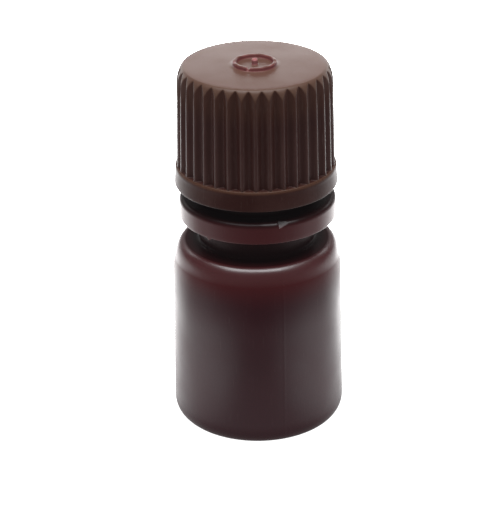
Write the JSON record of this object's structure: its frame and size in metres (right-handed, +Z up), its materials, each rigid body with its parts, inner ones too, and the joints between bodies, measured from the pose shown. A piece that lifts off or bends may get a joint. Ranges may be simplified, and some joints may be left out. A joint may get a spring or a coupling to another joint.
{
  "type": "reagent bottle",
  "caption": "Small round amber plastic bottle with a narrow neck, a neck bead and a ribbed screw cap over a sealing liner; the cap unscrews and lifts off to open the mouth.",
  "frame": {"origin": "centre of the flat base ring, on the surface the bottle stands on", "axes": "+Z up the bottle's axis, from the base to the cap, which is also the axis the cap turns about; X and Y have no preferred direction"},
  "size_m": [0.0176, 0.0176, 0.0386],
  "materials": {
    "bottle_plastic": "satin moulded polyethylene, dark amber",
    "cap_plastic": "satin moulded polypropylene, dark brown",
    "liner_foam": "soft white foamed polyethylene"
  },
  "bodies": {
    "bottle_body": {"bottle": "bottle_plastic"},
    "liner_body": {"liner": "liner_foam"},
    "cap_body": {"cap": "cap_plastic"}
  },
  "joints": [
    {"name": "cap_lift", "type": "slide", "parent": "bottle_body", "child": "liner_body", "axis": [0, 0, 1], "range_m": [0, 0.019]},
    {"name": "cap_turn", "type": "hinge", "parent": "liner_body", "child": "cap_body", "pos_m": [0, 0, 0.03], "axis": [0, 0, 1], "range_deg": [0, 3240]}
  ],
  "couplings": [
    {"joint": "cap_turn", "follows": "cap_lift", "rad_per_m": 2968.4}
  ]
}
